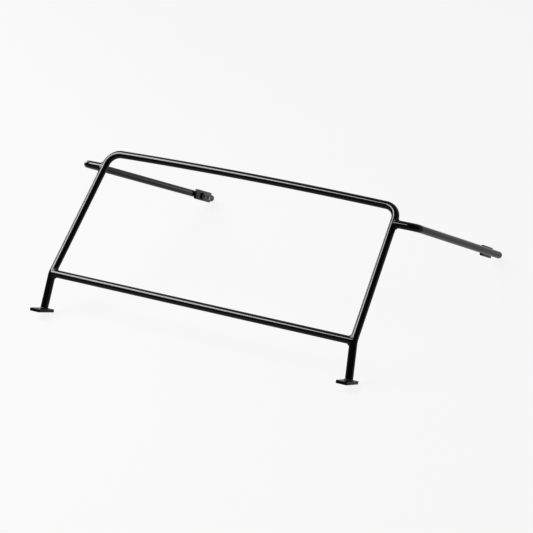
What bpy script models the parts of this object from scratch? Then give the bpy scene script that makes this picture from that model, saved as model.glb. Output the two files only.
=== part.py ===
"""Headache rack for a pickup bed: a bent round-tube hoop with a crowned top rail,
a lower cross bar, two side arms that run back and down, two thick foot pads and
two bolt-on end plates.  Metres, +Z up, X across the truck, +Y towards the tail.

The rack stands on the lower edges of its foot pads and on the two arm ends."""
import math

import bmesh
import bpy
from mathutils import Matrix, Vector

# ---------------------------------------------------------------- dimensions
TUBE_OD = 0.0381            # 1 1/2 in round tube
TUBE_WALL = 0.0024
GAP = 0.0003                # clearance left between pieces that touch
SIDES = 16                  # sides of a round tube
BEAD_STEPS = 24             # steps round a weld bead
BEND_R = 0.068              # centre-line radius of the top corners
ELBOW_R = 0.045             # tighter bend where an arm turns back
KINK_R = 0.060              # easy bend where the leg meets the upright

# heights are above the floor, and lengths along Y are from the legs' feet
HALF_FOOT = 0.850           # foot centre to the middle of the rack
FOOT_Y = -0.8462            # puts the origin under the middle of the rack
HALF_KINK = 0.8378          # cross bar height, where the leg is bent
KINK_Y = 0.0743
KINK_Z = 0.2041
HALF_TOP = 0.8091           # sharp corner of the top rail
TOP_Y = 0.6065
TOP_Z = 0.6772
CROWN = 0.0119              # rise of the top rail at its middle

ARM_ALONG = 0.8791          # arm take-off, as a share of the upright's length
ARM_OUT = 0.1215            # stub length, hoop centre to the corner of the arm
ARM_END_X = 0.8884          # centre of the arm's cut end
ARM_END_Y = 1.7604
ARM_END_Z = 0.01804

RAIL_STEPS = 12             # straight pieces that stand for the crowned rail

PAD_L = 0.1380              # foot pad, sawn from thick flat bar
PAD_W = 0.0560
PAD_T = 0.0150
PAD_CORNER = 0.0035
EDGE = 0.0009               # chamfer on the edges of flat pieces
PAD_FORWARD = 0.0165        # pad centre ahead of the leg
PAD_TILT = math.radians(22.0)  # square to the leg
PAD_HOLE_R = 0.0055
PAD_HOLE_AT = 0.0480        # hole centre from the pad's middle

PLATE_L = 0.1700            # end plate on the inner side of the arm
PLATE_H = 0.0560
PLATE_T = 0.0127
PLATE_END = 0.0580          # plate's rear end to the arm's cut end
PLATE_CORNER = 0.0090
BOSS_OD = 0.0360
BOSS_H = 0.0090
BOSS_HOLE_R = 0.0070
BOSS_AT = 0.0120            # boss centre ahead of the plate's middle (-) or behind (+)
SCREW_AT = 0.0640
SCREW_HEAD_R = 0.0088
SCREW_HEAD_H = 0.0050
SCREW_HOLE_R = 0.0056
SCREW_SHANK_R = 0.0050

BEAD_R = 0.0060             # weld bead section
CAP_T = 0.0040

R = TUBE_OD / 2.0

# ---------------------------------------------------------------- clean start
for old in list(bpy.data.objects):
    bpy.data.objects.remove(old, do_unlink=True)


def material(name, colour, rough, metal):
    mat = bpy.data.materials.new(name)
    mat.use_nodes = True
    shader = mat.node_tree.nodes["Principled BSDF"]
    shader.inputs["Base Color"].default_value = (*colour, 1.0)
    shader.inputs["Roughness"].default_value = rough
    shader.inputs["Metallic"].default_value = metal
    mat.diffuse_color = (*colour, 1.0)
    return mat


BLACK = (0.0052, 0.0052, 0.0056)
WELD = (0.0070, 0.0070, 0.0074)
ZINC = (0.52, 0.52, 0.54)
LOOKS = {
    "tube": (BLACK, 0.24, 0.0),
    "plate": (BLACK, 0.30, 0.0),
    "weld": (WELD, 0.34, 0.0),
    "zinc": (ZINC, 0.32, 1.0),
}


# ---------------------------------------------------------------- small tools
def new_object(name, mesh_data, look=None):
    obj = bpy.data.objects.new(name, mesh_data)
    bpy.context.scene.collection.objects.link(obj)
    if look:
        colour, rough, metal = LOOKS[look]
        obj.data.materials.append(material(name, colour, rough, metal))
    return obj


def finish(bm, name, look=None, smooth=True):
    bmesh.ops.recalc_face_normals(bm, faces=bm.faces)
    mesh_data = bpy.data.meshes.new(name)
    bm.to_mesh(mesh_data)
    bm.free()
    if smooth:
        mesh_data.shade_smooth()
        mesh_data.set_sharp_from_angle(angle=math.radians(40))
    return new_object(name, mesh_data, look)


def as_cutter(obj):
    obj.hide_render = True
    obj.display_type = "WIRE"
    return obj


def cut(obj, cutter):
    mod = obj.modifiers.new("cut", "BOOLEAN")
    mod.operation = "DIFFERENCE"
    mod.solver = "EXACT"
    mod.object = cutter
    return mod


def fillet_path(points, radii, steps):
    """Straight runs joined by true arcs; radii and steps are per inner point."""
    path = [points[0].copy()]
    for i in range(1, len(points) - 1):
        before = (points[i - 1] - points[i]).normalized()
        after = (points[i + 1] - points[i]).normalized()
        if radii[i] <= 0.0:
            path.append(points[i].copy())
            continue
        turn = math.pi - before.angle(after)
        back_off = radii[i] * math.tan(turn / 2.0)
        to_centre = (before + after).normalized()
        centre = points[i] + to_centre * (radii[i] / math.cos(turn / 2.0))
        start = points[i] + before * back_off - centre
        axis = start.cross(points[i] + after * back_off - centre).normalized()
        for k in range(steps[i] + 1):
            spin = Matrix.Rotation(turn * k / steps[i], 3, axis)
            path.append(centre + spin @ start)
    path.append(points[-1].copy())
    return path


def frames(path, first_up, closed=False):
    """Rotation-minimising frames along a path."""
    count = len(path)
    tangents = []
    for i in range(count):
        if closed:
            step = path[(i + 1) % count] - path[i - 1]
        elif i == 0:
            step = path[1] - path[0]
        elif i == count - 1:
            step = path[-1] - path[-2]
        else:
            one = (path[i] - path[i - 1]).normalized()
            two = (path[i + 1] - path[i]).normalized()
            step = one + two
        tangents.append(step.normalized())
    up = (first_up - tangents[0] * first_up.dot(tangents[0])).normalized()
    out = []
    for i, tangent in enumerate(tangents):
        if i:
            up = (tangents[i - 1].rotation_difference(tangent) @ up).normalized()
            up = (up - tangent * up.dot(tangent)).normalized()
        out.append((path[i], tangent, up, tangent.cross(up)))
    return out


def ring(bm, frame, radius, sides, phase=0.0):
    centre, _tangent, up, side = frame
    verts = []
    for k in range(sides):
        a = 2.0 * math.pi * (k + phase) / sides
        verts.append(bm.verts.new(centre + (up * math.cos(a) + side * math.sin(a)) * radius))
    return verts


def skin(bm, rings, closed=False):
    count = len(rings)
    for i in range(count if closed else count - 1):
        one = rings[i]
        two = rings[(i + 1) % count]
        for k in range(len(one)):
            m = (k + 1) % len(one)
            bm.faces.new((one[k], one[m], two[m], two[k]))


def sweep_tube(name, path, outer, inner, look, sides=SIDES):
    """Round tube along a path; inner = 0 gives a solid bar with flat ends."""
    bm = bmesh.new()
    rail = frames(path, Vector((0.0, 0.3, 1.0)))
    outside = [ring(bm, f, outer, sides) for f in rail]
    skin(bm, outside)
    if inner > 0.0:
        inside = [ring(bm, f, inner, sides) for f in rail]
        skin(bm, inside)
        for o, i in ((outside[0], inside[0]), (outside[-1], inside[-1])):
            for k in range(sides):
                m = (k + 1) % sides
                bm.faces.new((o[k], o[m], i[m], i[k]))
    else:
        bm.faces.new(outside[0])
        bm.faces.new(outside[-1])
    return finish(bm, name, look)


def sweep_loop(name, path, radius, look, sides=6):
    bm = bmesh.new()
    rail = frames(path, Vector((0.2, 0.3, 1.0)), closed=True)
    rings = [ring(bm, f, radius, sides) for f in rail]
    # the frame turns a little over one lap, so the last ring is matched by nearest vertex
    first = rings[0]
    last = rings[-1]
    skin(bm, rings)
    best = min(range(sides), key=lambda s: sum(
        (last[k].co - first[(k + s) % sides].co).length for k in range(sides)))
    for k in range(sides):
        m = (k + 1) % sides
        bm.faces.new((last[k], last[m], first[(m + best) % sides], first[(k + best) % sides]))
    return finish(bm, name, look)


def block(name, size, look, corner=0.0, corner_axis=2, edge=0.0):
    """Rectangular plate centred on its origin, with rounded corners and edges."""
    bm = bmesh.new()
    bmesh.ops.create_cube(bm, size=1.0)
    bmesh.ops.scale(bm, vec=size, verts=bm.verts)
    if corner > 0.0:
        upright = []
        for e in bm.edges:
            run = (e.verts[0].co - e.verts[1].co).normalized()
            if abs(run[corner_axis]) > 0.9:
                upright.append(e)
        bmesh.ops.bevel(bm, geom=upright, offset=corner, segments=3, profile=0.5,
                        affect="EDGES", clamp_overlap=True)
    if edge > 0.0:
        rim = []
        for e in bm.edges:
            if len(e.link_faces) == 2 and e.calc_face_angle() > math.radians(60):
                rim.append(e)
        bmesh.ops.bevel(bm, geom=rim, offset=edge, segments=1, affect="EDGES")
    return finish(bm, name, look)


def cylinder(name, radius, depth, look=None, sides=18):
    bm = bmesh.new()
    bmesh.ops.create_cone(bm, cap_ends=True, segments=sides, radius1=radius,
                          radius2=radius, depth=depth)
    return finish(bm, name, look)


def place(obj, origin, x_axis, y_axis, z_axis):
    basis = Matrix((x_axis, y_axis, z_axis)).transposed()
    obj.matrix_world = Matrix.Translation(origin) @ basis.to_4x4()
    return obj


def saddle(origin, axis, radius, run_point, run_dir, run_radius, count=BEAD_STEPS):
    """Points where a branch tube's surface meets a run tube's surface."""
    side = axis.cross(run_dir).normalized()
    up = side.cross(axis).normalized()
    out = []
    for k in range(count):
        a = 2.0 * math.pi * k / count
        start = origin + (up * math.cos(a) + side * math.sin(a)) * radius - run_point
        flat = start - run_dir * start.dot(run_dir)
        along = axis - run_dir * axis.dot(run_dir)
        qa = along.dot(along)
        qb = 2.0 * flat.dot(along)
        qc = flat.dot(flat) - run_radius ** 2
        root = math.sqrt(max(qb * qb - 4.0 * qa * qc, 0.0))
        t = (-qb + root) / (2.0 * qa)
        out.append(start + run_point + axis * t)
    return out


# ---------------------------------------------------------------- key points
tilt_back = Vector((0.0, math.cos(PAD_TILT), -math.sin(PAD_TILT)))
pad_up = Vector((0.0, math.sin(PAD_TILT), math.cos(PAD_TILT)))
rear_reach = PAD_L / 2.0 - PAD_FORWARD - EDGE
under_z = rear_reach * math.sin(PAD_TILT)

key = {}
for side, sx in (("left", -1.0), ("right", 1.0)):
    under = Vector((sx * HALF_FOOT, FOOT_Y, under_z))
    foot = under + pad_up * PAD_T
    kink = Vector((sx * HALF_KINK, FOOT_Y + KINK_Y, KINK_Z))
    top = Vector((sx * HALF_TOP, FOOT_Y + TOP_Y, TOP_Z))
    take_off = kink.lerp(top, ARM_ALONG)
    elbow = take_off + Vector((sx * ARM_OUT, 0.0, 0.0))
    end = Vector((sx * ARM_END_X, FOOT_Y + ARM_END_Y, ARM_END_Z))
    key[side] = {"sx": sx, "under": under, "foot": foot, "kink": kink, "top": top,
                 "take_off": take_off, "elbow": elbow, "end": end}

# ---------------------------------------------------------------- hoop
hoop_points = []
hoop_radii = []
hoop_steps = []


def add_point(point, radius=0.0, steps=1):
    hoop_points.append(point)
    hoop_radii.append(radius)
    hoop_steps.append(steps)


def leg_start(side):
    k = key[side]
    return k["foot"] + (k["foot"] - k["kink"]).normalized() * 0.012


add_point(leg_start("left"))
add_point(key["left"]["kink"], KINK_R, 4)
add_point(key["left"]["top"], BEND_R, 8)
for i in range(2, RAIL_STEPS - 1):
    share = i / RAIL_STEPS
    rise = CROWN * (1.0 - (2.0 * share - 1.0) ** 2)
    rail_point = key["left"]["top"].lerp(key["right"]["top"], share)
    add_point(rail_point + Vector((0.0, 0.0, rise)))
add_point(key["right"]["top"], BEND_R, 8)
add_point(key["right"]["kink"], KINK_R, 4)
add_point(leg_start("right"))

hoop_path = fillet_path(hoop_points, hoop_radii, hoop_steps)
hoop = sweep_tube("hoop_tube", hoop_path, R, R - TUBE_WALL, "tube")
hoop_cutter = as_cutter(sweep_tube("cutter_hoop", hoop_path, R + GAP, 0.0, None))

# ---------------------------------------------------------------- cross bar
cross_path = [key["left"]["kink"].copy(), key["right"]["kink"].copy()]
cross = sweep_tube("cross_bar", cross_path, R, R - TUBE_WALL, "tube")
cut(cross, hoop_cutter)
cross_cutter = as_cutter(sweep_tube("cutter_cross", cross_path, R + GAP, 0.0, None))

for side in ("left", "right"):
    k = key[side]
    sx = k["sx"]

    # ------------------------------------------------------------ foot pad
    across = tilt_back.cross(pad_up)
    pad_centre = k["under"] + pad_up * PAD_T / 2.0 - tilt_back * PAD_FORWARD
    pad = block("foot_pad_" + side, (PAD_W, PAD_L, PAD_T), "plate",
                corner=PAD_CORNER, edge=EDGE)
    place(pad, pad_centre, across, tilt_back, pad_up)
    for n, at in enumerate((-PAD_HOLE_AT, PAD_HOLE_AT)):
        drill = as_cutter(cylinder(f"cutter_pad_{side}_{n}", PAD_HOLE_R, PAD_T * 3.0))
        place(drill, pad_centre + tilt_back * at, across, tilt_back, pad_up)
        cut(pad, drill)

    trim = as_cutter(block("cutter_leg_" + side, (0.30, 0.30, 0.08), None))
    place(trim, k["foot"] + pad_up * (GAP - 0.04), across, tilt_back, pad_up)
    cut(hoop, trim)

    # bead where the leg stands on the pad
    leg_dir = (k["kink"] - k["foot"]).normalized()
    lap = leg_dir.cross(tilt_back).normalized()
    lap2 = lap.cross(leg_dir).normalized()
    circle = []
    for i in range(BEAD_STEPS):
        a = 2.0 * math.pi * i / BEAD_STEPS
        p = k["foot"] + (lap * math.cos(a) + lap2 * math.sin(a)) * R
        p += leg_dir * ((k["foot"] - p).dot(pad_up) / leg_dir.dot(pad_up))
        circle.append(p)
    bead = sweep_loop("weld_leg_" + side, circle, BEAD_R, "weld")
    cut(bead, hoop_cutter)
    cut(bead, trim)

    # ------------------------------------------------------------ cross bar bead
    upright_dir = (k["top"] - k["kink"]).normalized()
    run_dir = (upright_dir + leg_dir).normalized()
    inward = Vector((-sx, 0.0, 0.0))
    curve = saddle(k["kink"], inward, R, k["kink"], run_dir, R + 0.0004)
    bead = sweep_loop("weld_cross_" + side, curve, BEAD_R, "weld")
    cut(bead, hoop_cutter)
    cut(bead, cross_cutter)

    # ------------------------------------------------------------ side arm
    run = (k["end"] - k["elbow"]).normalized()
    arm_path = fillet_path([k["take_off"], k["elbow"], k["end"]],
                           [0.0, ELBOW_R, 0.0], [1, 10, 1])
    arm = sweep_tube("arm_" + side, arm_path, R, R - TUBE_WALL, "tube")
    cut(arm, hoop_cutter)
    arm_cutter = as_cutter(sweep_tube("cutter_arm_" + side, arm_path, R + GAP, 0.0, None))

    outward = Vector((sx, 0.0, 0.0))
    curve = saddle(k["take_off"], outward, R, k["take_off"], upright_dir, R + 0.0004)
    bead = sweep_loop("weld_arm_" + side, curve, BEAD_R, "weld")
    cut(bead, hoop_cutter)
    cut(bead, arm_cutter)

    # pressed plug that closes the cut end of the arm
    arm_up = Vector((0.0, -run.z, run.y)).normalized()
    arm_side = arm_up.cross(run).normalized()
    bm = bmesh.new()
    bore = (R - TUBE_WALL) * math.cos(math.pi / SIDES) - GAP
    profile = [(0.0, -0.0160), (bore - 0.0010, -0.0160), (bore, -0.0150), (bore, GAP),
               (R, GAP), (R, GAP + 0.0018), (R - 0.0012, GAP + 0.0030),
               (R - 0.0050, GAP + CAP_T), (0.0, GAP + CAP_T)]
    verts = [bm.verts.new((x, 0.0, z)) for x, z in profile]
    edges = [bm.edges.new((verts[i], verts[i + 1])) for i in range(len(verts) - 1)]
    bmesh.ops.spin(bm, geom=verts + edges, cent=(0, 0, 0), axis=(0, 0, 1), dvec=(0, 0, 0),
                   angle=2.0 * math.pi, steps=SIDES, use_merge=True, use_duplicate=False)
    bmesh.ops.remove_doubles(bm, verts=bm.verts, dist=0.00002)
    plug = finish(bm, "arm_plug_" + side, "plate")
    place(plug, k["end"], arm_up.cross(run), arm_up, run)

    # ------------------------------------------------------------ end plate
    inner = arm_side * (-1.0 if arm_side.x * sx > 0.0 else 1.0)
    plate_mid = k["end"] - run * (PLATE_END + PLATE_L / 2.0)
    plate_centre = plate_mid + inner * (R + GAP + PLATE_T / 2.0)
    z_axis = inner
    x_axis = run
    y_axis = z_axis.cross(x_axis)
    plate = block("end_plate_" + side, (PLATE_L, PLATE_H, PLATE_T), "plate",
                  corner=PLATE_CORNER, edge=EDGE)
    place(plate, plate_centre, x_axis, y_axis, z_axis)
    low = y_axis if y_axis.z < 0.0 else -y_axis
    boss_centre = plate_centre + run * (-BOSS_AT) + low * 0.002
    screw_centre = plate_centre + run * SCREW_AT + low * 0.004
    for label, spot, bore_r in (("boss", boss_centre, BOSS_HOLE_R),
                                ("screw", screw_centre, SCREW_HOLE_R)):
        drill = as_cutter(cylinder(f"cutter_{label}_{side}", bore_r, PLATE_T * 3.0, sides=16))
        place(drill, spot, x_axis, y_axis, z_axis)
        cut(plate, drill)

    # threaded boss on the plate
    bm = bmesh.new()
    half = BOSS_OD / 2.0
    profile = [(BOSS_HOLE_R, 0.0), (half, 0.0), (half, BOSS_H - 0.0015),
               (half - 0.0015, BOSS_H), (BOSS_HOLE_R + 0.0010, BOSS_H),
               (BOSS_HOLE_R, BOSS_H - 0.0010)]
    verts = [bm.verts.new((x, 0.0, z)) for x, z in profile]
    edges = [bm.edges.new((verts[i], verts[(i + 1) % len(verts)])) for i in range(len(verts))]
    bmesh.ops.spin(bm, geom=verts + edges, cent=(0, 0, 0), axis=(0, 0, 1), dvec=(0, 0, 0),
                   angle=2.0 * math.pi, steps=24, use_merge=True, use_duplicate=False)
    bmesh.ops.remove_doubles(bm, verts=bm.verts, dist=0.00002)
    boss = finish(bm, "plate_boss_" + side, "plate")
    place(boss, boss_centre + inner * (PLATE_T / 2.0 + GAP), x_axis, y_axis, z_axis)

    # button-head screw at the plate's rear end
    bm = bmesh.new()
    reach = PLATE_T - 0.0010
    profile = [(0.0, -reach), (SCREW_SHANK_R - 0.0008, -reach),
               (SCREW_SHANK_R, -reach + 0.0008), (SCREW_SHANK_R, GAP), (SCREW_HEAD_R, GAP)]
    for i in range(5):
        a = math.radians(90.0 * i / 5 * 0.82)
        profile.append((SCREW_HEAD_R * math.cos(a), GAP + SCREW_HEAD_H * math.sin(a) + 0.0004))
    profile.append((0.0028, GAP + SCREW_HEAD_H + 0.0004))
    profile.append((0.0028, GAP + SCREW_HEAD_H - 0.0022))
    profile.append((0.0, GAP + SCREW_HEAD_H - 0.0022))
    verts = [bm.verts.new((x, 0.0, z)) for x, z in profile]
    edges = [bm.edges.new((verts[i], verts[i + 1])) for i in range(len(verts) - 1)]
    bmesh.ops.spin(bm, geom=verts + edges, cent=(0, 0, 0), axis=(0, 0, 1), dvec=(0, 0, 0),
                   angle=2.0 * math.pi, steps=16, use_merge=True, use_duplicate=False)
    bmesh.ops.remove_doubles(bm, verts=bm.verts, dist=0.00002)
    screw = finish(bm, "plate_screw_" + side, "zinc")
    place(screw, screw_centre + inner * (PLATE_T / 2.0), x_axis, y_axis, z_axis)

    # fillet welds along the arm, above and below it
    plate_cutter = as_cutter(block("cutter_plate_" + side,
                                   (PLATE_L + 0.10, PLATE_H + 0.10, PLATE_T + 2.0 * GAP), None))
    place(plate_cutter, plate_centre, x_axis, y_axis, z_axis)
    for label, sign in (("upper", 1.0), ("lower", -1.0)):
        bm = bmesh.new()
        half_run = PLATE_L / 2.0 - 0.012
        sections = []
        for i in range(9):
            share = i / 8.0
            size = 0.0072 * (0.55 + 0.45 * math.sin(math.pi * share) ** 0.35)
            across_arm = -low * sign
            root = (plate_mid + run * (half_run * (2.0 * share - 1.0))
                    + inner * (R * 0.86) + across_arm * (R * 0.62))
            sect = []
            for j in range(8):
                a = 2.0 * math.pi * j / 8
                sect.append(bm.verts.new(root + (inner * math.cos(a)
                                                 + across_arm * math.sin(a)) * size))
            sections.append(sect)
        skin(bm, sections)
        bm.faces.new(sections[0])
        bm.faces.new(sections[-1])
        bead = finish(bm, f"weld_plate_{label}_{side}", "weld")
        cut(bead, arm_cutter)
        cut(bead, plate_cutter)
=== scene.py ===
"""Headache rack in gloss black powder coat, standing on white studio paper.

Run as a script, it builds the whole rack and its studio around the packed frame."""

import math

import bmesh
import bpy
import numpy as np
from bpy.props import FloatProperty, FloatVectorProperty, IntProperty
from bpy.props import PointerProperty, StringProperty
from bpy.types import Operator, Panel, PropertyGroup
from mathutils import Matrix, Vector


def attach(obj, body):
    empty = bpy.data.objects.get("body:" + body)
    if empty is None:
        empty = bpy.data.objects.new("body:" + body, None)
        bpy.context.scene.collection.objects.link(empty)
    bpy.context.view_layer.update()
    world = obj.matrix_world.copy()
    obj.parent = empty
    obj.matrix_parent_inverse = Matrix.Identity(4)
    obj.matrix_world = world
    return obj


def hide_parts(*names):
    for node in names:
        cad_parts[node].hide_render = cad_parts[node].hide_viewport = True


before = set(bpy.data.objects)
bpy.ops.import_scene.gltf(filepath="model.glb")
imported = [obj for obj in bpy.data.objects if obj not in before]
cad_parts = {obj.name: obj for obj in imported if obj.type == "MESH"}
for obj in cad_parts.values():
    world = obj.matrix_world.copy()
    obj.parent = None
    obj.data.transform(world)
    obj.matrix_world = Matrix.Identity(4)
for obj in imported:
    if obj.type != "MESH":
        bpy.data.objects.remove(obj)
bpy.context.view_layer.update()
BODY = "root"
SIDES = (("left", -1.0), ("right", 1.0))
RAIL_STEPS = 48      # rings that draw the crown of the top rail
BAR_STEP = 0.05      # distance between the rings of the straight cross bar
WELD_SINK = 0.0006   # how far a bead's toes lie under the surfaces that it joins
SEAM_INSET = 0.012   # seam's end to the plate's end
LAMPS = (            # name, place, size and watts
    ("softbox_above", (-4.4, -3.3, 6.4), (6.0, 4.0), 1250.0),
    ("softbox_left", (-7.6, 3.1, 2.2), (4.8, 3.4), 262.0),
)
LAMP_AIM = (0.1, 0.0, 0.3)

bl_info = {
    "name": "Headache rack",
    "version": (1, 0, 0),
    "blender": (4, 5, 0),
    "location": "3D View > Sidebar > Rack",
    "description": "Builds a welded tube headache rack with its welds, plates and studio",
    "category": "Object",
}


# ------------------------------------------------------------------ settings
def metres(name, default, about):
    return FloatProperty(name=name, description=about, default=default, unit="LENGTH",
                         precision=5)


def degrees(name, default, about):
    return FloatProperty(name=name, description=about, default=math.radians(default),
                         subtype="ANGLE")


def hex_colour(name, default, about):
    return StringProperty(name=name, description=about, default=default)


class TubeSettings(PropertyGroup):
    """The round tube that the whole rack is bent from."""

    diameter: metres("Diameter", 0.0381, "Outside diameter of the tube")
    bend: metres("Bend", 0.068, "Centre-line radius of the top corners")
    elbow_bend: metres("Elbow bend", 0.045, "Centre-line radius where an arm turns back")
    kink_bend: metres("Kink bend", 0.060, "Centre-line radius at the cross bar")
    facets: IntProperty(name="Facets", description="Faces round the tube", default=44)
    bend_steps: IntProperty(name="Bend steps", description="Rings in a bend", default=26)
    clearance: metres("Clearance", 0.0003, "Gap between pieces that touch")


class HoopSettings(PropertyGroup):
    """Hoop and cross bar. Y is measured from the feet, Z from the ground."""

    foot_y: metres("Foot Y", -0.8462, "Place of the feet along the truck")
    half_foot: metres("Half foot width", 0.850, "Foot centre to the middle")
    half_kink: metres("Half kink width", 0.8378, "Cross bar joint to the middle")
    kink_y: metres("Kink Y", 0.0743, "Cross bar behind the feet")
    kink_z: metres("Kink Z", 0.2041, "Cross bar above the ground")
    half_top: metres("Half top width", 0.8091, "Top corner to the middle")
    top_y: metres("Top Y", 0.6065, "Top rail behind the feet")
    top_z: metres("Top Z", 0.6772, "Top rail above the ground, at its ends")
    crown: metres("Crown", 0.0119, "Rise of the top rail at its middle")


class ArmSettings(PropertyGroup):
    """Side arms that run back and down."""

    along: FloatProperty(name="Take-off", description="Share of the upright's length",
                         default=0.8791)
    stub: metres("Stub", 0.1215, "Hoop to the arm's corner")
    end_x: metres("End X", 0.8884, "Cut end to the middle")
    end_y: metres("End Y", 1.7604, "Cut end behind the feet")
    end_z: metres("End Z", 0.01804, "Cut end above the ground")
    plug: metres("Plug", 0.0040, "Thickness of the plug's head")


class PadSettings(PropertyGroup):
    """Flat bars under the legs."""

    length: metres("Length", 0.1380, "Fore and aft")
    width: metres("Width", 0.0560, "Side to side")
    thickness: metres("Thickness", 0.0150, "Flat bar thickness")
    corner: metres("Corner", 0.0035, "Radius of the sawn corners")
    edge: metres("Edge", 0.0009, "Rounding of the edges")
    forward: metres("Forward", 0.0165, "Pad centre ahead of the leg")
    tilt: degrees("Tilt", 22.0, "Tilt of the pads to the ground")
    hole: metres("Hole", 0.0110, "Diameter of the bolt holes")
    hole_at: metres("Hole at", 0.0480, "Bolt hole to the pad's middle")


class PlateSettings(PropertyGroup):
    """End plates on the inner side of the arms."""

    length: metres("Length", 0.1700, "Along the arm")
    height: metres("Height", 0.0560, "Across the arm")
    thickness: metres("Thickness", 0.0127, "Plate thickness")
    corner: metres("Corner", 0.0090, "Radius of the corners")
    edge: metres("Edge", 0.0009, "Rounding of the cut edges")
    end_gap: metres("End gap", 0.0580, "Plate's rear end to the arm's cut end")
    boss_at: metres("Boss at", 0.0120, "Boss ahead of the plate's middle")
    boss_drop: metres("Boss drop", 0.0020, "Boss under the plate's centre line")
    boss: metres("Boss", 0.0360, "Diameter of the boss")
    boss_height: metres("Boss height", 0.0090, "How far the boss stands out")
    bore: metres("Bore", 0.0140, "Diameter of the threaded hole")
    pitch: metres("Pitch", 0.0020, "Pitch of the thread in the boss")
    screw_at: metres("Screw at", 0.0640, "Screw behind the plate's middle")
    screw_drop: metres("Screw drop", 0.0040, "Screw under the plate's centre line")
    screw_head: metres("Screw head", 0.0176, "Diameter of the screw's head")
    screw_hole: metres("Screw hole", 0.0112, "Diameter of the clearance hole")


class WeldSettings(PropertyGroup):
    """Weld beads."""

    leg: metres("Leg", 0.0105, "Leg of the fillet welds at the joints")
    crown: FloatProperty(name="Crown", default=-0.03,
                         description="Swell of a weld's face, as a share of its leg")
    foot_share: FloatProperty(name="Foot share", default=0.60,
                              description="Size of the welds at the feet against the others")
    seam: metres("Seam", 0.0070, "Radius of the bead along an end plate")
    ripple: metres("Ripple", 0.0034, "Distance from one ripple to the next")
    ripple_height: FloatProperty(name="Ripple height", default=0.055,
                                 description="Ripple as a share of the bead's radius")
    facets: IntProperty(name="Facets", description="Faces across a bead", default=10)


class FinishSettings(PropertyGroup):
    """Colours, as sRGB hex values."""

    coat: hex_colour("Powder coat", "#0A0A0B", "Gloss black powder coat")
    coat_thin: hex_colour("Thin coat", "#111112", "Powder coat where it lies thinner")
    zinc: hex_colour("Zinc", "#C9CBCC", "Bright zinc plate")
    zinc_dull: hex_colour("Dull zinc", "#A9ADB3", "Zinc plate where it is passivated")
    paper: hex_colour("Paper", "#FFFFFF", "Studio paper")


class StudioSettings(PropertyGroup):
    """Camera, paper and lamps."""

    eye: FloatVectorProperty(name="Eye", description="Camera's place", subtype="XYZ",
                             unit="LENGTH", default=(4.2896, -8.0586, 4.0420))
    yaw: degrees("Yaw", 28.213, "Camera's turn to the rack's left")
    pitch: degrees("Pitch", 23.180, "How far the camera looks down")
    lens: FloatProperty(name="Lens", description="Focal length in mm", default=129.98)
    shift_x: FloatProperty(name="Shift X", description="Lens shift", default=-0.00015)
    shift_y: FloatProperty(name="Shift Y", description="Lens shift", default=-0.00545)
    paper_glow: FloatProperty(name="Paper glow", description="Light of the lit paper",
                              default=0.905)
    paper_grey: FloatProperty(name="Paper grey", default=0.032,
                              description="Share of the lamps' light that shows shadows")
    white: FloatProperty(name="White", default=0.93,
                         description="White that the camera sees past the paper")
    gamma: FloatProperty(name="Gamma", default=0.80,
                         description="View gamma, which keeps thin bars dark at their edges")
    # the card's glow is a painted reflection of lit paper; its fade to the dimmer rest near the
    # arms' ends is painted shade
    glow_at: FloatVectorProperty(name="Glow at", subtype="XYZ", unit="LENGTH",
                                 description="Middle of the card's bright patch",
                                 default=(-1.0, 2.3, 0.0))
    glow_inner: metres("Glow inner", 1.20, "Radius where the bright patch starts to fade")
    glow_outer: metres("Glow outer", 1.60, "Radius where the card's plain tone is reached")
    glow_near: FloatProperty(name="Glow near", description="Light of the patch", default=1.8)
    glow_far: FloatProperty(name="Glow far", description="Light of the rest", default=0.58)


# ------------------------------------------------------------------ geometry
def rack_points(scene):
    """Sharp corners of the centre lines of hoop and arms, for each side."""
    hoop, arm, pad = scene.rack_hoop, scene.rack_arm, scene.rack_pad
    pad_up = Vector((0.0, math.sin(pad.tilt), math.cos(pad.tilt)))
    reach = pad.length / 2.0 - pad.forward - pad.edge * 0.5
    points = {}
    for side, sx in SIDES:
        under = Vector((sx * hoop.half_foot, hoop.foot_y, reach * math.sin(pad.tilt)))
        kink = Vector((sx * hoop.half_kink, hoop.foot_y + hoop.kink_y, hoop.kink_z))
        top = Vector((sx * hoop.half_top, hoop.foot_y + hoop.top_y, hoop.top_z))
        take_off = kink.lerp(top, arm.along)
        elbow = take_off + Vector((sx * arm.stub, 0.0, 0.0))
        end = Vector((sx * arm.end_x, hoop.foot_y + arm.end_y, arm.end_z))
        points[side] = {"under": under, "foot": under + pad_up * pad.thickness,
                        "kink": kink, "top": top, "take_off": take_off,
                        "elbow": elbow, "end": end, "pad_up": pad_up}
    return points


def fillet_path(corners, bends, steps):
    """A path through corners, each rounded by a true arc of its own radius."""
    path = [corners[0].copy()]
    for i in range(1, len(corners) - 1):
        before = (corners[i - 1] - corners[i]).normalized()
        after = (corners[i + 1] - corners[i]).normalized()
        if bends[i] <= 0.0:
            path.append(corners[i].copy())
            continue
        turn = math.pi - before.angle(after)
        back_off = bends[i] * math.tan(turn / 2.0)
        centre = corners[i] + (before + after).normalized() * bends[i] / math.cos(turn / 2.0)
        spoke = corners[i] + before * back_off - centre
        axis = spoke.cross(corners[i] + after * back_off - centre).normalized()
        for k in range(steps + 1):
            path.append(centre + Matrix.Rotation(turn * k / steps, 3, axis) @ spoke)
    path.append(corners[-1].copy())
    return path


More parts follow.
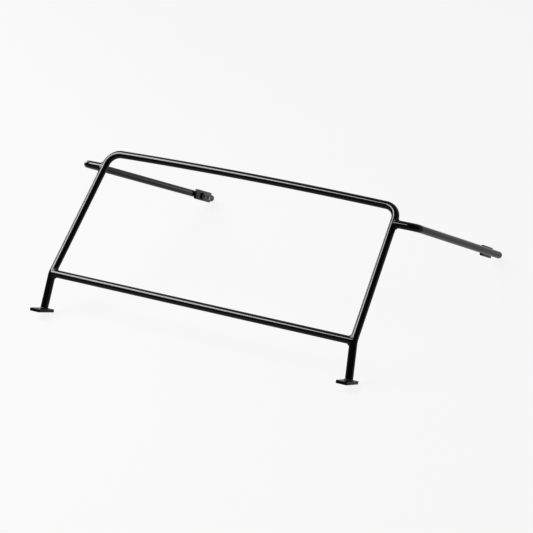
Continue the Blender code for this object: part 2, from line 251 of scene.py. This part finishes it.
def hoop_path(scene):
    """Leg, kink, upright, round corner and crowned rail, from left foot to right."""
    hoop, tube = scene.rack_hoop, scene.rack_tube
    points = rack_points(scene)
    left, right = points["left"], points["right"]
    corners, bends = [], []
    for point, bend in ((left["foot"], 0.0), (left["kink"], tube.kink_bend),
                        (left["top"], tube.bend)):
        corners.append(point)
        bends.append(bend)
    first = math.ceil(tube.bend / (2.0 * hoop.half_top) * RAIL_STEPS) + 1
    for i in range(first, RAIL_STEPS - first + 1):
        share = i / RAIL_STEPS
        rise = hoop.crown * (1.0 - (2.0 * share - 1.0) ** 2)
        corners.append(left["top"].lerp(right["top"], share) + Vector((0.0, 0.0, rise)))
        bends.append(0.0)
    for point, bend in ((right["top"], tube.bend), (right["kink"], tube.kink_bend),
                        (right["foot"], 0.0)):
        corners.append(point)
        bends.append(bend)
    return fillet_path(corners, bends, tube.bend_steps)


def path_frames(path, up):
    """Point, tangent and two cross directions at each point, with no needless twist."""
    count = len(path)
    tangents = []
    for i in range(count):
        if i in (0, count - 1):
            step = path[min(i + 1, count - 1)] - path[max(i - 1, 0)]
        else:
            step = (path[i] - path[i - 1]).normalized() + (path[i + 1] - path[i]).normalized()
        tangents.append(step.normalized())
    up = (up - tangents[0] * up.dot(tangents[0])).normalized()
    rows = []
    for i, tangent in enumerate(tangents):
        if i:
            up = tangents[i - 1].rotation_difference(tangent) @ up
            up = (up - tangent * up.dot(tangent)).normalized()
        rows.append((path[i], tangent, up, tangent.cross(up)))
    return rows


def add_ring(mesh, row, radius, facets):
    place, _tangent, up, across = row
    ring = []
    for k in range(facets):
        a = 2.0 * math.pi * k / facets
        ring.append(mesh.verts.new(place + (up * math.cos(a) + across * math.sin(a)) * radius))
    return ring


def join_rings(mesh, one, two):
    for k in range(len(one)):
        m = (k + 1) % len(one)
        mesh.faces.new((one[k], one[m], two[m], two[k]))


def make_piece(mesh, name, sharp=35.0):
    """Turns a bmesh into a smooth-shaded object in the scene."""
    bmesh.ops.recalc_face_normals(mesh, faces=mesh.faces)
    data = bpy.data.meshes.new(name)
    mesh.to_mesh(data)
    mesh.free()
    data.shade_smooth()
    data.set_sharp_from_angle(angle=math.radians(sharp))
    piece = bpy.data.objects.new(name, data)
    bpy.context.scene.collection.objects.link(piece)
    return piece


def swept_bar(name, path, radius, facets):
    """Round bar along an open path, closed by flat ends."""
    mesh = bmesh.new()
    rings = [add_ring(mesh, row, radius, facets)
             for row in path_frames(path, Vector((0.0, 0.3, 1.0)))]
    for one, two in zip(rings, rings[1:]):
        join_rings(mesh, one, two)
    mesh.faces.new(rings[0])
    mesh.faces.new(rings[-1])
    return make_piece(mesh, name)


def smooth_ripple(share):
    """Rounded crest and sharp valley, as one puddle of weld metal overlaps the next."""
    return math.sqrt(abs(math.sin(math.pi * share))) - 0.7


def resample(path, gap):
    """Points at an even distance along a path, and the path's length."""
    marks = [0.0]
    for one, two in zip(path, path[1:]):
        marks.append(marks[-1] + (two - one).length)
    count = max(8, round(marks[-1] / gap))
    places = np.linspace(0.0, marks[-1], count + 1)
    table = np.array([tuple(p) for p in path])
    columns = [np.interp(places, marks, table[:, axis]) for axis in range(3)]
    return [Vector(row) for row in zip(*columns)], marks[-1]


def fillet_weld(name, rows, weld):
    """Fillet weld round a joint. Each row holds the root's place, the way along each of
    the two surfaces, and the way out between them."""
    mesh = bmesh.new()
    rings = []
    ripples = round(sum((rows[i][0] - rows[i - 1][0]).length for i in range(len(rows)))
                    / weld.ripple)
    for i, (root, along_one, along_two, outward) in enumerate(rows):
        wave = smooth_ripple(i / len(rows) * ripples)
        leg = weld.leg * (1.0 + 0.4 * weld.ripple_height * wave)
        one, two = root + along_one * leg, root + along_two * leg
        ring = [mesh.verts.new(one - outward * WELD_SINK)]
        for k in range(weld.facets + 1):
            share = k / weld.facets
            belly = 4.0 * share * (1.0 - share) * weld.leg
            belly *= weld.crown + weld.ripple_height * wave
            ring.append(mesh.verts.new(one.lerp(two, share) + outward * belly))
        ring.append(mesh.verts.new(two - outward * WELD_SINK))
        ring.append(mesh.verts.new(root - outward * 2.0 * WELD_SINK))
        rings.append(ring)
    for i, ring in enumerate(rings):
        join_rings(mesh, ring, rings[(i + 1) % len(rings)])
    return make_piece(mesh, name, sharp=50.0)


def weld_seam(name, start, end, weld):
    """Straight bead with a tapered start and a small crater at its end."""
    points, length = resample([start, end], weld.ripple / 8.0)
    mesh = bmesh.new()
    rings = []
    for i, row in enumerate(path_frames(points, Vector((0.2, 0.3, 1.0)))):
        share = i / (len(points) - 1)
        taper = min(1.0, share * 14.0 + 0.12, (1.0 - share) * 20.0 + 0.12) ** 0.5
        swell = 1.0 + weld.ripple_height * smooth_ripple(share * length / weld.ripple)
        rings.append(add_ring(mesh, row, weld.seam * taper * swell, 2 * weld.facets))
    for one, two in zip(rings, rings[1:]):
        join_rings(mesh, one, two)
    mesh.faces.new(rings[0])
    mesh.faces.new(rings[-1])
    return make_piece(mesh, name, sharp=60.0)


def nearest_on(table, point):
    """Nearest point of a polyline, which is given as an array of its points."""
    start, step = table[:-1], np.diff(table, axis=0)
    rel = np.array(point) - start
    share = np.clip((rel * step).sum(1) / (step * step).sum(1), 0.0, 1.0)
    off = rel - step * share[:, None]
    best = (off * off).sum(1).argmin()
    return Vector(start[best] + step[best] * share[best])


def tee_rows(origin, axis, run, radius, leg, count):
    """Rows for a weld where a branch tube along axis meets the tube that follows run."""
    table = np.array([tuple(p) for p in run])
    side = axis.orthogonal().normalized()
    other = axis.cross(side).normalized()
    rows = []
    for k in range(count):
        a = 2.0 * math.pi * k / count
        branch_out = side * math.cos(a) + other * math.sin(a)
        near, far = 0.0, radius * 3.0
        for _halving in range(20):
            middle = (near + far) / 2.0
            point = origin + branch_out * radius + axis * middle
            if (point - nearest_on(table, point)).length < radius:
                near = middle
            else:
                far = middle
        root = origin + branch_out * radius + axis * far
        run_out = (root - nearest_on(table, root)).normalized()
        along = (branch_out - run_out * branch_out.dot(run_out)).normalized()
        toe = root + along * leg
        centre = nearest_on(table, toe)
        toe = centre + (toe - centre).normalized() * radius
        rows.append((root, axis, (toe - root) / leg, (branch_out + run_out).normalized()))
    return rows


def foot_rows(foot, axis, pad_up, radius, count, share):
    """Rows for a weld where a leg stands on the flat top of its pad. share is its size
    against the other welds."""
    side = axis.orthogonal().normalized()
    other = axis.cross(side)
    rows = []
    for k in range(count):
        a = 2.0 * math.pi * k / count
        leg_out = side * math.cos(a) + other * math.sin(a)
        root = foot + leg_out * radius
        root += axis * ((foot - root).dot(pad_up) / axis.dot(pad_up))
        along = (leg_out - pad_up * leg_out.dot(pad_up)).normalized()
        rows.append((root, axis * share, along * share, (leg_out + pad_up).normalized()))
    return rows


def rounded_outline(length, width, corner, steps=8):
    outline = []
    for quarter, (cx, cy) in enumerate(((1, 1), (-1, 1), (-1, -1), (1, -1))):
        middle = Vector((cx * (length / 2.0 - corner), cy * (width / 2.0 - corner)))
        for k in range(steps + 1):
            a = math.radians(90.0 * quarter + 90.0 * k / steps)
            outline.append(middle + Vector((math.cos(a), math.sin(a))) * corner)
    return outline


def flat_plate(name, outline, holes, thickness, edge):
    """Plate with softly rounded edges, lying in XY and centred on its thickness."""
    curve = bpy.data.curves.new(name, "CURVE")
    curve.dimensions = "2D"
    curve.fill_mode = "BOTH"
    curve.extrude = thickness / 2.0 - edge
    curve.bevel_depth = edge
    curve.bevel_resolution = 3
    curve.offset = -edge
    loops = [outline]
    for place, radius in holes:
        loops.append([place + Vector((math.cos(a), -math.sin(a))) * radius
                      for a in (2.0 * math.pi * k / 40 for k in range(40))])
    for loop in loops:
        spline = curve.splines.new("POLY")
        spline.points.add(len(loop) - 1)
        for point, place in zip(spline.points, loop):
            point.co = (place.x, place.y, 0.0, 1.0)
        spline.use_cyclic_u = True
    shape = bpy.data.objects.new(name + "_outline", curve)
    bpy.context.scene.collection.objects.link(shape)
    solid = shape.evaluated_get(bpy.context.evaluated_depsgraph_get()).to_mesh()
    mesh = bmesh.new()
    mesh.from_mesh(solid)
    bpy.data.objects.remove(shape, do_unlink=True)
    bpy.data.curves.remove(curve)
    bmesh.ops.remove_doubles(mesh, verts=mesh.verts, dist=0.000005)
    return make_piece(mesh, name, sharp=28.0)


def turned(name, profile, steps, bore=None):
    """Lathe-turned shape: profile is (radius, height) pairs from the bottom up.

    bore, when given, is a function of angle and height for the innermost wall."""
    mesh = bmesh.new()
    rings = []
    for radius, height in profile:
        if radius <= 0.0:
            rings.append([mesh.verts.new((0.0, 0.0, height))])
            continue
        ring = []
        for k in range(steps):
            a = 2.0 * math.pi * k / steps
            r = bore(a, radius, height) if bore else radius
            ring.append(mesh.verts.new((r * math.cos(a), r * math.sin(a), height)))
        rings.append(ring)
    closed = len(rings[0]) > 1 and len(rings[-1]) > 1
    pairs = list(zip(rings, rings[1:]))
    if closed:
        pairs.append((rings[-1], rings[0]))
    for one, two in pairs:
        for k in range(steps):
            m = (k + 1) % steps
            if len(one) == 1:
                mesh.faces.new((one[0], two[m], two[k]))
            elif len(two) == 1:
                mesh.faces.new((one[k], one[m], two[0]))
            else:
                mesh.faces.new((one[k], one[m], two[m], two[k]))
    return make_piece(mesh, name)


def settle(piece, origin, x_axis, y_axis, z_axis):
    """Puts a piece in its place and leaves its object at the world's origin."""
    basis = Matrix((x_axis, y_axis, z_axis)).transposed().to_4x4()
    piece.data.transform(Matrix.Translation(origin) @ basis)
    return piece


def fit(piece, node, finish):
    """Gives a piece its finish, and lets it stand for a node of the frame."""
    piece.data.materials.clear()
    piece.data.materials.append(finish)
    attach(piece, BODY)
    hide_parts(node)


def arm_axes(points, side, sx):
    """Run of the arm, and the inward and downward directions at its end plate."""
    p = points[side]
    run = (p["end"] - p["elbow"]).normalized()
    up = Vector((0.0, -run.z, run.y)).normalized()
    inward = up.cross(run).normalized()
    if inward.x * sx > 0.0:
        inward = -inward
    down = inward.cross(run)
    if down.z > 0.0:
        down = -down
    return run, inward, down


def plate_centre(scene, points, side, sx):
    plate, tube = scene.rack_plate, scene.rack_tube
    run, inward, _down = arm_axes(points, side, sx)
    middle = points[side]["end"] - run * (plate.end_gap + plate.length / 2.0)
    return middle, middle + inward * (tube.diameter / 2.0 + tube.clearance
                                      + plate.thickness / 2.0)


# ------------------------------------------------------------------ finishes
def linear(hex_value):
    """Linear RGBA from an sRGB hex value."""
    out = []
    for i in (1, 3, 5):
        c = int(hex_value[i:i + 2], 16) / 255.0
        out.append(c / 12.92 if c <= 0.04045 else ((c + 0.055) / 1.055) ** 2.4)
    return (*out, 1.0)


def add_node(tree, kind, settings=None, values=None, links=None):
    """Adds a node, sets its properties and input values, and links its inputs."""
    node = tree.nodes.new(kind)
    for key, value in (settings or {}).items():
        setattr(node, key, value)
    for key, value in (values or {}).items():
        node.inputs[key].default_value = value
    for key, (source, output) in (links or {}).items():
        tree.links.new(source.outputs[output], node.inputs[key])
    return node


def new_finish(name):
    finish = bpy.data.materials.new(name)
    finish.use_nodes = True
    tree = finish.node_tree
    shader = tree.nodes["Principled BSDF"]
    coords = add_node(tree, "ShaderNodeTexCoord")
    return finish, tree, shader, coords


def feed(tree, shader, **sources):
    for key, (source, output) in sources.items():
        tree.links.new(source.outputs[output], shader.inputs[key.replace("_", " ")])


MM = 0.001


def powder_coat(name, colours, peel_mm, peel_height_mm, rough):
    """Polyester powder coat, sprayed dry and baked: a deep black film that reflects
    sharply, but with the faint long waves of orange peel and a few duller patches."""
    finish, tree, shader, coords = new_finish(name)
    shader.inputs["IOR"].default_value = 1.42
    cloud = add_node(tree, "ShaderNodeTexNoise",
                     values={"Scale": 1.0 / (90 * MM), "Detail": 3.0},
                     links={"Vector": (coords, "Object")})
    colour = add_node(tree, "ShaderNodeMix", {"data_type": "RGBA"},
                      links={"Factor": (cloud, "Fac")})
    colour.inputs["A"].default_value = linear(colours[0])
    colour.inputs["B"].default_value = linear(colours[1])
    haze = add_node(tree, "ShaderNodeTexNoise",
                    values={"Scale": 1.0 / (14 * MM), "Detail": 4.0},
                    links={"Vector": (coords, "Object")})
    gloss = add_node(tree, "ShaderNodeMapRange",
                     values={"From Min": 0.3, "From Max": 0.7, "To Min": rough[0],
                             "To Max": rough[1]},
                     links={"Value": (haze, "Fac")})
    # real orange peel is 1 to 3 mm across; it is drawn coarser so that it shows
    peel = add_node(tree, "ShaderNodeTexNoise",
                    values={"Scale": 1.0 / (peel_mm * MM), "Detail": 1.5, "Roughness": 0.4},
                    links={"Vector": (coords, "Object")})
    bump = add_node(tree, "ShaderNodeBump",
                    values={"Strength": 1.0, "Distance": peel_height_mm * MM},
                    links={"Height": (peel, "Fac")})
    feed(tree, shader, Base_Color=(colour, "Result"), Roughness=(gloss, "Result"),
         Normal=(bump, "Normal"))
    return finish


def zinc_plate(name, colours):
    """Steel turned and then zinc-plated: bright and cool, clouded by its passivation,
    with fine turning marks round the head."""
    finish, tree, shader, coords = new_finish(name)
    shader.inputs["Metallic"].default_value = 1.0
    cloud = add_node(tree, "ShaderNodeTexNoise",
                     values={"Scale": 1.0 / (4 * MM), "Detail": 4.0},
                     links={"Vector": (coords, "Object")})
    colour = add_node(tree, "ShaderNodeMix", {"data_type": "RGBA"},
                      links={"Factor": (cloud, "Fac")})
    colour.inputs["A"].default_value = linear(colours[0])
    colour.inputs["B"].default_value = linear(colours[1])
    gloss = add_node(tree, "ShaderNodeMapRange", values={"To Min": 0.22, "To Max": 0.42},
                     links={"Value": (cloud, "Fac")})
    grit = add_node(tree, "ShaderNodeTexNoise",
                    values={"Scale": 1.0 / (0.5 * MM), "Detail": 2.0},
                    links={"Vector": (coords, "Object")})
    bump = add_node(tree, "ShaderNodeBump", values={"Strength": 0.5, "Distance": 0.02 * MM},
                    links={"Height": (grit, "Fac")})
    feed(tree, shader, Base_Color=(colour, "Result"), Roughness=(gloss, "Result"),
         Normal=(bump, "Normal"))
    return finish


def finish_named(scene, name):
    """Each finish is made once and shared by the pieces that wear it."""
    if name in bpy.data.materials:
        return bpy.data.materials[name]
    colours = scene.rack_finish
    coat = (colours.coat, colours.coat_thin)
    if name == "powder_coated_tube":
        return powder_coat(name, coat, peel_mm=5.0, peel_height_mm=0.010, rough=(0.10, 0.16))
    if name == "powder_coated_plate":
        return powder_coat(name, coat, peel_mm=5.0, peel_height_mm=0.020, rough=(0.16, 0.26))
    if name == "powder_coated_weld":
        return powder_coat(name, coat, peel_mm=2.2, peel_height_mm=0.030, rough=(0.14, 0.24))
    return zinc_plate(name, (colours.zinc, colours.zinc_dull))


# ------------------------------------------------------------------ operators
class RACK_OT_hoop(Operator):
    """Bend the hoop: legs, uprights and crowned top rail from one tube"""

    bl_idname = "rack.hoop"
    bl_label = "Hoop"

    def execute(self, context):
        scene = context.scene
        tube = scene.rack_tube
        piece = swept_bar("hoop_tube_bent", hoop_path(scene), tube.diameter / 2.0, tube.facets)
        fit(piece, "hoop_tube", finish_named(scene, "powder_coated_tube"))
        return {"FINISHED"}


class RACK_OT_cross_bar(Operator):
    """Fit the straight cross bar between the kinks of the hoop"""

    bl_idname = "rack.cross_bar"
    bl_label = "Cross bar"

    def execute(self, context):
        scene = context.scene
        tube = scene.rack_tube
        points = rack_points(scene)
        ends = [points["left"]["kink"], points["right"]["kink"]]
        path, _length = resample(ends, BAR_STEP)
        piece = swept_bar("cross_bar_tube", path, tube.diameter / 2.0, tube.facets)
        fit(piece, "cross_bar", finish_named(scene, "powder_coated_tube"))
        return {"FINISHED"}


class RACK_OT_arms(Operator):
    """Bend the two side arms and plug their cut ends"""

    bl_idname = "rack.arms"
    bl_label = "Side arms"

    def execute(self, context):
        scene = context.scene
        tube, arm = scene.rack_tube, scene.rack_arm
        points = rack_points(scene)
        radius = tube.diameter / 2.0
        for side, sx in SIDES:
            p = points[side]
            path = fillet_path([p["take_off"], p["elbow"], p["end"]], [0.0, tube.elbow_bend, 0.0],
                               tube.bend_steps)
            piece = swept_bar(f"arm_{side}_bent", path, radius, tube.facets)
            fit(piece, f"arm_{side}", finish_named(scene, "powder_coated_tube"))

            run, _inward, down = arm_axes(points, side, sx)
            head = arm.plug
            profile = [(0.0, -0.001), (radius - 0.0002, -0.001), (radius, 0.0004)]
            for k in range(9):
                a = math.radians(90.0 * k / 8)
                profile.append((radius - head * 0.75 + head * 0.75 * math.cos(a),
                                head * 0.25 + head * 0.75 * math.sin(a)))
            profile.append((radius * 0.45, head * 1.02))
            profile.append((0.0, head * 1.04))
            plug = turned(f"arm_plug_{side}_cap", profile, tube.facets)
            settle(plug, p["end"] + run * tube.clearance, down.cross(run), down, run)
            fit(plug, f"arm_plug_{side}", finish_named(scene, "powder_coated_plate"))
        return {"FINISHED"}


class RACK_OT_foot_pads(Operator):
    """Cut the thick flat bars under the legs, with their bolt holes"""

    bl_idname = "rack.foot_pads"
    bl_label = "Foot pads"

    def execute(self, context):
        scene = context.scene
        pad = scene.rack_pad
        points = rack_points(scene)
        back = Vector((0.0, math.cos(pad.tilt), -math.sin(pad.tilt)))
        for side, _sx in SIDES:
            p = points[side]
            across = back.cross(p["pad_up"])
            outline = rounded_outline(pad.width, pad.length, pad.corner)
            holes = [(Vector((0.0, at)), pad.hole / 2.0) for at in (-pad.hole_at, pad.hole_at)]
            piece = flat_plate(f"foot_pad_{side}_bar", outline, holes, pad.thickness, pad.edge)
            centre = p["under"] + p["pad_up"] * pad.thickness / 2.0 - back * pad.forward
            settle(piece, centre, across, back, p["pad_up"])
            fit(piece, f"foot_pad_{side}", finish_named(scene, "powder_coated_plate"))
        return {"FINISHED"}


class RACK_OT_end_plates(Operator):
    """Cut the plates on the inner side of the arms' ends"""

    bl_idname = "rack.end_plates"
    bl_label = "End plates"

    def execute(self, context):
        scene = context.scene
        plate = scene.rack_plate
        points = rack_points(scene)
        for side, sx in SIDES:
            run, inward, down = arm_axes(points, side, sx)
            _middle, centre = plate_centre(scene, points, side, sx)
            upright = inward.cross(run)
            dip = 1.0 if upright.dot(down) > 0.0 else -1.0
            outline = rounded_outline(plate.length, plate.height, plate.corner)
            holes = [(Vector((-plate.boss_at, dip * plate.boss_drop)), plate.bore / 2.0),
                     (Vector((plate.screw_at, dip * plate.screw_drop)), plate.screw_hole / 2.0)]
            piece = flat_plate(f"end_plate_{side}_cut", outline, holes, plate.thickness,
                               plate.edge)
            settle(piece, centre, run, upright, inward)
            fit(piece, f"end_plate_{side}", finish_named(scene, "powder_coated_plate"))
        return {"FINISHED"}


class RACK_OT_bosses(Operator):
    """Turn the threaded bosses on the end plates"""

    bl_idname = "rack.bosses"
    bl_label = "Bosses"

    def execute(self, context):
        scene = context.scene
        plate, tube = scene.rack_plate, scene.rack_tube
        points = rack_points(scene)
        bore, outer, tall = plate.bore / 2.0, plate.boss / 2.0, plate.boss_height
        depth = 0.45 * plate.pitch
        rim, foot, mouth = 0.0022, 0.0003, 0.0014
        wall_steps = 60

        def thread(angle, radius, height):
            """Cuts the thread's helix into the bore's wall, and leaves the rest round."""
            if radius > bore + 0.0001 or height < 0.0004 or height > tall - 0.0010:
                return radius
            turn = (height / plate.pitch - angle / (2.0 * math.pi)) % 1.0
            return radius + depth * (1.0 - abs(2.0 * turn - 1.0))

        for side, sx in SIDES:
            run, inward, down = arm_axes(points, side, sx)
            _middle, centre = plate_centre(scene, points, side, sx)
            profile = [(bore, 0.0), (outer - foot, 0.0), (outer, foot)]
            for k in range(6):
                a = math.radians(90.0 * k / 5)
                profile.append((outer - rim + rim * math.cos(a),
                                tall - rim + rim * math.sin(a)))
            profile.append((bore + mouth, tall))
            for k in range(wall_steps):
                profile.append((bore, (tall - 0.0012) * (1.0 - k / wall_steps)))
            piece = turned(f"plate_boss_{side}_turned", profile, 48, bore=thread)
            spot = centre - run * plate.boss_at + down * plate.boss_drop
            spot += inward * (plate.thickness / 2.0 + tube.clearance)
            settle(piece, spot, run, inward.cross(run), inward)
            fit(piece, f"plate_boss_{side}",
                finish_named(scene, "powder_coated_plate"))
        return {"FINISHED"}


class RACK_OT_screws(Operator):
    """Set the button-head screws at the rear of the end plates"""

    bl_idname = "rack.screws"
    bl_label = "Screws"

    def execute(self, context):
        scene = context.scene
        plate, tube = scene.rack_plate, scene.rack_tube
        points = rack_points(scene)
        head, shank = plate.screw_head / 2.0, plate.screw_hole / 2.0 - 0.0006
        dome, key, key_depth = 0.0050, 0.0030, 0.0028
        reach, point, rim, steepest = 0.0117, 0.0008, 0.0004, math.radians(76.0)

        def socket(angle, radius, height):
            """Makes the innermost wall a hexagon for the key."""
            if radius > key * 1.001 or height < dome - key_depth - 0.0002:
                return radius
            sixth = math.pi / 3.0
            return radius * math.cos(sixth / 2.0) / math.cos(angle % sixth - sixth / 2.0) * 1.1

        for side, sx in SIDES:
            run, inward, down = arm_axes(points, side, sx)
            _middle, centre = plate_centre(scene, points, side, sx)
            profile = [(0.0, -reach), (shank - point, -reach), (shank, point - reach),
                       (shank, 0.0), (head - rim / 2.0, 0.0), (head, rim)]
            for k in range(1, 10):
                a = steepest * k / 9
                profile.append((head * math.cos(a), rim + (dome - rim) * math.sin(a)
                                / math.sin(steepest)))
            profile.append((key * 1.25, dome))
            profile.append((key, dome - 0.0002))
            profile.append((key, dome - key_depth))
            profile.append((0.0, dome - key_depth - 0.0008))
            piece = turned(f"plate_screw_{side}_button", profile, 48, bore=socket)
            spot = centre + run * plate.screw_at + down * plate.screw_drop
            spot += inward * (plate.thickness / 2.0 + tube.clearance)
            settle(piece, spot, run, inward.cross(run), inward)
            fit(piece, f"plate_screw_{side}", finish_named(scene, "zinc_plated_steel"))
        return {"FINISHED"}


class RACK_OT_welds(Operator):
    """Lay the weld beads at every joint"""

    bl_idname = "rack.welds"
    bl_label = "Welds"

    def execute(self, context):
        scene = context.scene
        weld, tube, plate = scene.rack_weld, scene.rack_tube, scene.rack_plate
        points = rack_points(scene)
        radius = tube.diameter / 2.0
        run_path = hoop_path(scene)
        steps = 8 * round(2.2 * math.pi * radius / weld.ripple)
        finish = finish_named(scene, "powder_coated_weld")
        for side, sx in SIDES:
            p = points[side]
            outward = Vector((sx, 0.0, 0.0))

            leg = (p["kink"] - p["foot"]).normalized()
            joints = (("leg", foot_rows(p["foot"], leg, p["pad_up"], radius, steps,
                                        weld.foot_share)),
                      ("cross", tee_rows(p["kink"], -outward, run_path, radius, weld.leg,
                                         steps)),
                      ("arm", tee_rows(p["take_off"], outward, run_path, radius, weld.leg,
                                       steps)))
            for joint, rows in joints:
                bead = fillet_weld(f"weld_{joint}_{side}_bead", rows, weld)
                fit(bead, f"weld_{joint}_{side}", finish)

            run, inward, down = arm_axes(points, side, sx)
            middle, _centre = plate_centre(scene, points, side, sx)
            half = plate.length / 2.0 - SEAM_INSET
            for label, way in (("upper", -down), ("lower", down)):
                root = middle + inward * radius * 0.86 + way * radius * 0.62
                bead = weld_seam(f"weld_plate_{label}_{side}_bead", root - run * half,
                                 root + run * half, weld)
                fit(bead, f"weld_plate_{label}_{side}", finish)
        return {"FINISHED"}


class RACK_OT_studio(Operator):
    """Set the paper, the lamps, the surroundings and the camera"""

    bl_idname = "rack.studio"
    bl_label = "Studio"

    def execute(self, context):
        scene = context.scene
        studio = scene.rack_studio
        scene.view_settings.view_transform = "Standard"
        scene.view_settings.gamma = studio.gamma

        paper = self.sheet("studio_paper", (-40.0, -40.0), (40.0, 40.0), -0.0002)
        paper.data.materials.append(self.paper_finish(scene, studio))
        paper.visible_glossy = False

        # what the gloss sees underneath: a painted reflection of lit paper, bright behind the
        # rack and dimmer elsewhere; the fade near the arms' ends is painted shade
        card = self.sheet("studio_card", (-2.6, -2.2), (5.0, 9.0), -0.0004)
        card.data.materials.append(self.card_finish(studio))
        card.visible_camera = False
        card.visible_diffuse = False
        card.visible_shadow = False

        for name, place, size, watts in LAMPS:
            self.lamp(name, place, size, watts)
        self.surroundings(scene)
        self.camera(scene, studio)
        return {"FINISHED"}

    def sheet(self, name, low, high, height):
        mesh = bmesh.new()
        corners = ((low[0], low[1]), (high[0], low[1]), (high[0], high[1]), (low[0], high[1]))
        mesh.faces.new([mesh.verts.new((x, y, height)) for x, y in corners])
        data = bpy.data.meshes.new(name)
        mesh.to_mesh(data)
        mesh.free()
        sheet = bpy.data.objects.new(name, data)
        bpy.context.scene.collection.objects.link(sheet)
        return sheet

    def paper_finish(self, scene, studio):
        """Matte seamless paper, lit evenly from many sides, so shadows on it are faint."""
        finish, tree, shader, coords = new_finish("seamless_paper")
        grey = studio.paper_grey
        shader.inputs["Base Color"].default_value = (grey, grey, grey, 1.0)
        shader.inputs["Roughness"].default_value = 1.0
        shader.inputs["Specular IOR Level"].default_value = 0.0
        shader.inputs["Emission Color"].default_value = linear(scene.rack_finish.paper)
        shader.inputs["Emission Strength"].default_value = studio.paper_glow
        tree.nodes.remove(coords)
        return finish

    def card_finish(self, studio):
        """Glow that only reflections see: a painted reflection of lit paper, with a bright patch
        behind the rack and a plain, dimmer rest whose fade near the arms' ends is painted shade.
        """
        finish, tree, shader, coords = new_finish("card_glow")
        shader.inputs["Base Color"].default_value = (0.0, 0.0, 0.0, 1.0)
        shader.inputs["Specular IOR Level"].default_value = 0.0
        shader.inputs["Emission Color"].default_value = (1.0, 1.0, 1.0, 1.0)
        away = add_node(tree, "ShaderNodeVectorMath", {"operation": "DISTANCE"},
                        {1: tuple(studio.glow_at)}, {0: (coords, "Object")})
        glow = add_node(tree, "ShaderNodeMapRange", {"interpolation_type": "SMOOTHSTEP"},
                        {"From Min": studio.glow_inner, "From Max": studio.glow_outer,
                         "To Min": studio.glow_near, "To Max": studio.glow_far},
                        {"Value": (away, "Value")})
        feed(tree, shader, Emission_Strength=(glow, "Result"))
        return finish

    def lamp(self, name, place, size, watts):
        light = bpy.data.lights.new(name, "AREA")
        light.shape = "RECTANGLE"
        light.size, light.size_y = size
        light.energy = watts
        lamp = bpy.data.objects.new(name, light)
        aim = Vector(LAMP_AIM) - Vector(place)
        lamp.location = place
        lamp.rotation_euler = aim.to_track_quat("-Z", "Y").to_euler()
        lamp.visible_camera = False
        bpy.context.scene.collection.objects.link(lamp)

    def surroundings(self, scene):
        """White behind the rack for the eye, and a dim room with a pale rear wall
        for the reflections."""
        world = bpy.data.worlds.new("studio_room")
        scene.world = world
        world.use_nodes = True
        tree = world.node_tree
        tree.nodes.clear()
        rays = add_node(tree, "ShaderNodeLightPath")
        coords = add_node(tree, "ShaderNodeTexCoord")
        split = add_node(tree, "ShaderNodeSeparateXYZ", links={"Vector": (coords, "Generated")})
        wall = add_node(tree, "ShaderNodeMapRange", {"interpolation_type": "SMOOTHSTEP"},
                        {"From Min": -0.05, "From Max": 0.55, "To Min": 0.03, "To Max": 0.65},
                        {"Value": (split, "Y")})
        room = add_node(tree, "ShaderNodeBackground", links={"Color": (wall, "Result")})
        white = add_node(tree, "ShaderNodeBackground",
                         values={"Strength": scene.rack_studio.white})
        white.inputs["Color"].default_value = (1.0, 1.0, 1.0, 1.0)
        mix = add_node(tree, "ShaderNodeMixShader", links={"Fac": (rays, "Is Camera Ray")})
        tree.links.new(room.outputs[0], mix.inputs[1])
        tree.links.new(white.outputs[0], mix.inputs[2])
        add_node(tree, "ShaderNodeOutputWorld", links={"Surface": (mix, "Shader")})

    def camera(self, scene, studio):
        data = bpy.data.cameras.new("studio_camera")
        data.sensor_width = 36.0
        data.lens = studio.lens
        data.shift_x = studio.shift_x
        data.shift_y = studio.shift_y
        data.clip_end = 200.0
        camera = bpy.data.objects.new("studio_camera", data)
        camera.location = studio.eye
        camera.rotation_euler = (math.pi / 2.0 - studio.pitch, 0.0, studio.yaw)
        scene.collection.objects.link(camera)
        scene.camera = camera


class RACK_PT_panel(Panel):
    """Buttons and sizes of the rack"""

    bl_idname = "RACK_PT_panel"
    bl_label = "Headache rack"
    bl_space_type = "VIEW_3D"
    bl_region_type = "UI"
    bl_category = "Rack"

    def draw(self, context):
        for operator in OPERATORS:
            self.layout.operator(operator.bl_idname)
        for name, group in GROUPS:
            box = self.layout.box()
            box.label(text=group.__doc__.split(".")[0])
            values = getattr(context.scene, name)
            for key in group.__annotations__:
                box.prop(values, key)


GROUPS = (("rack_tube", TubeSettings), ("rack_hoop", HoopSettings), ("rack_arm", ArmSettings),
          ("rack_pad", PadSettings), ("rack_plate", PlateSettings),
          ("rack_weld", WeldSettings), ("rack_finish", FinishSettings),
          ("rack_studio", StudioSettings))
OPERATORS = (RACK_OT_hoop, RACK_OT_cross_bar, RACK_OT_arms, RACK_OT_foot_pads,
             RACK_OT_end_plates, RACK_OT_bosses, RACK_OT_screws, RACK_OT_welds,
             RACK_OT_studio)


def register():
    for name, group in GROUPS:
        bpy.utils.register_class(group)
        setattr(bpy.types.Scene, name, PointerProperty(type=group))
    for operator in OPERATORS:
        bpy.utils.register_class(operator)
    bpy.utils.register_class(RACK_PT_panel)


def unregister():
    bpy.utils.unregister_class(RACK_PT_panel)
    for operator in reversed(OPERATORS):
        bpy.utils.unregister_class(operator)
    for name, group in reversed(GROUPS):
        delattr(bpy.types.Scene, name)
        bpy.utils.unregister_class(group)


def main():
    register()
    bpy.ops.rack.hoop()
    bpy.ops.rack.cross_bar()
    bpy.ops.rack.arms()
    bpy.ops.rack.foot_pads()
    bpy.ops.rack.end_plates()
    bpy.ops.rack.bosses()
    bpy.ops.rack.screws()
    bpy.ops.rack.welds()
    bpy.ops.rack.studio()


if __name__ == "__main__":
    main()
